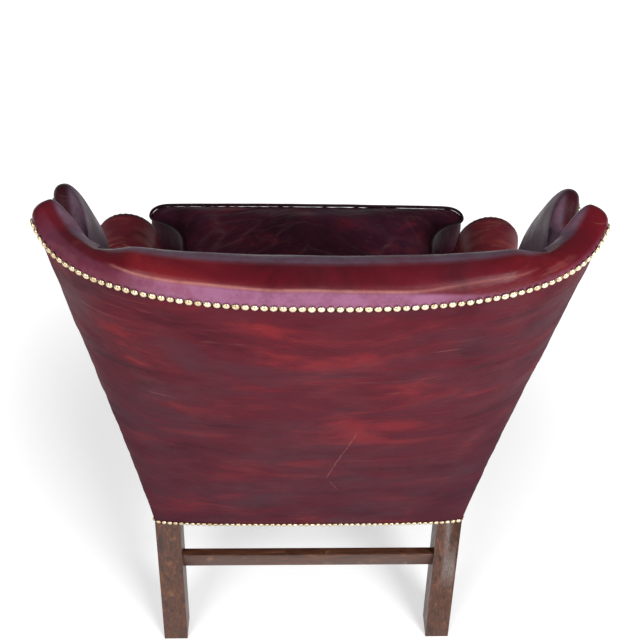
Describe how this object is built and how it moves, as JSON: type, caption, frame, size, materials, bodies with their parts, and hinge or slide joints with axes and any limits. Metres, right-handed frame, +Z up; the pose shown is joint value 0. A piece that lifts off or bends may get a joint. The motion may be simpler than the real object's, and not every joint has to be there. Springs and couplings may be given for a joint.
{
  "type": "wingback armchair",
  "caption": "Leather wingback armchair with a horseshoe back, rolled crest and wings, scroll arms, a loose T cushion, close nailing and a stretchered wooden base.",
  "frame": {"origin": "centre of the bounding box's footprint, on the floor", "axes": "+Z up, the sitter faces -Y, +X is the sitter's left"},
  "size_m": [0.826, 0.8391, 1.046],
  "materials": {
    "walnut": "waxed, worn",
    "beech": "sawn, unfinished",
    "leather": "oxblood, waxed and mottled",
    "dark_leather": "oxblood, worn",
    "brass": "polished, slightly dulled",
    "steel": "plain",
    "jute": "woven",
    "black_cloth": "woven lining cloth",
    "filling": "foam with a soft wrap"
  },
  "bodies": {
    "chair": {"rear_post_left": "walnut", "rear_post_right": "walnut", "front_leg_left": "walnut", "front_leg_right": "walnut", "front_rail": "beech", "rear_rail": "beech", "side_rail_left": "beech", "side_rail_right": "beech", "side_stretcher_left": "walnut", "side_stretcher_right": "walnut", "cross_stretcher": "walnut", "rear_stretcher": "walnut", "corner_blocks": "beech", "block_screws": "steel", "crest_rail": "beech", "lower_back_rail": "beech", "arm_post_left": "beech", "arm_post_right": "beech", "arm_rail_left": "beech", "arm_rail_right": "beech", "arm_tacking_rail_left": "beech", "arm_tacking_rail_right": "beech", "wing_rail_left": "beech", "wing_rail_right": "beech", "wing_post_left": "beech", "wing_post_right": "beech", "back_webbing": "jute", "back_hessian": "jute", "seat_springs": "steel", "spring_clips": "steel", "seat_hessian": "jute", "deck_pad": "leather", "dust_cover": "black_cloth", "inside_back": "leather", "inside_wing_left": "leather", "inside_wing_right": "leather", "arm_pad_left": "leather", "arm_pad_right": "leather", "outside_back": "leather", "outside_wing_left": "leather", "outside_wing_right": "leather", "outside_arm_left": "leather", "outside_arm_right": "leather", "front_border": "leather", "arm_facing_left": "dark_leather", "arm_facing_right": "dark_leather", "crown_nails": "brass", "hem_nails": "brass", "facing_nails_left": "brass", "facing_nails_right": "brass"},
    "seat_cushion": {"cushion_cover": "dark_leather", "cushion_core": "filling", "cushion_top_welt": "dark_leather", "cushion_bottom_welt": "dark_leather", "cushion_zip": "brass"}
  },
  "joints": [
    {"name": "cushion_lift", "type": "slide", "parent": "chair", "child": "seat_cushion", "axis": [0, 0, 1], "range_m": [0, 0.2]}
  ]
}
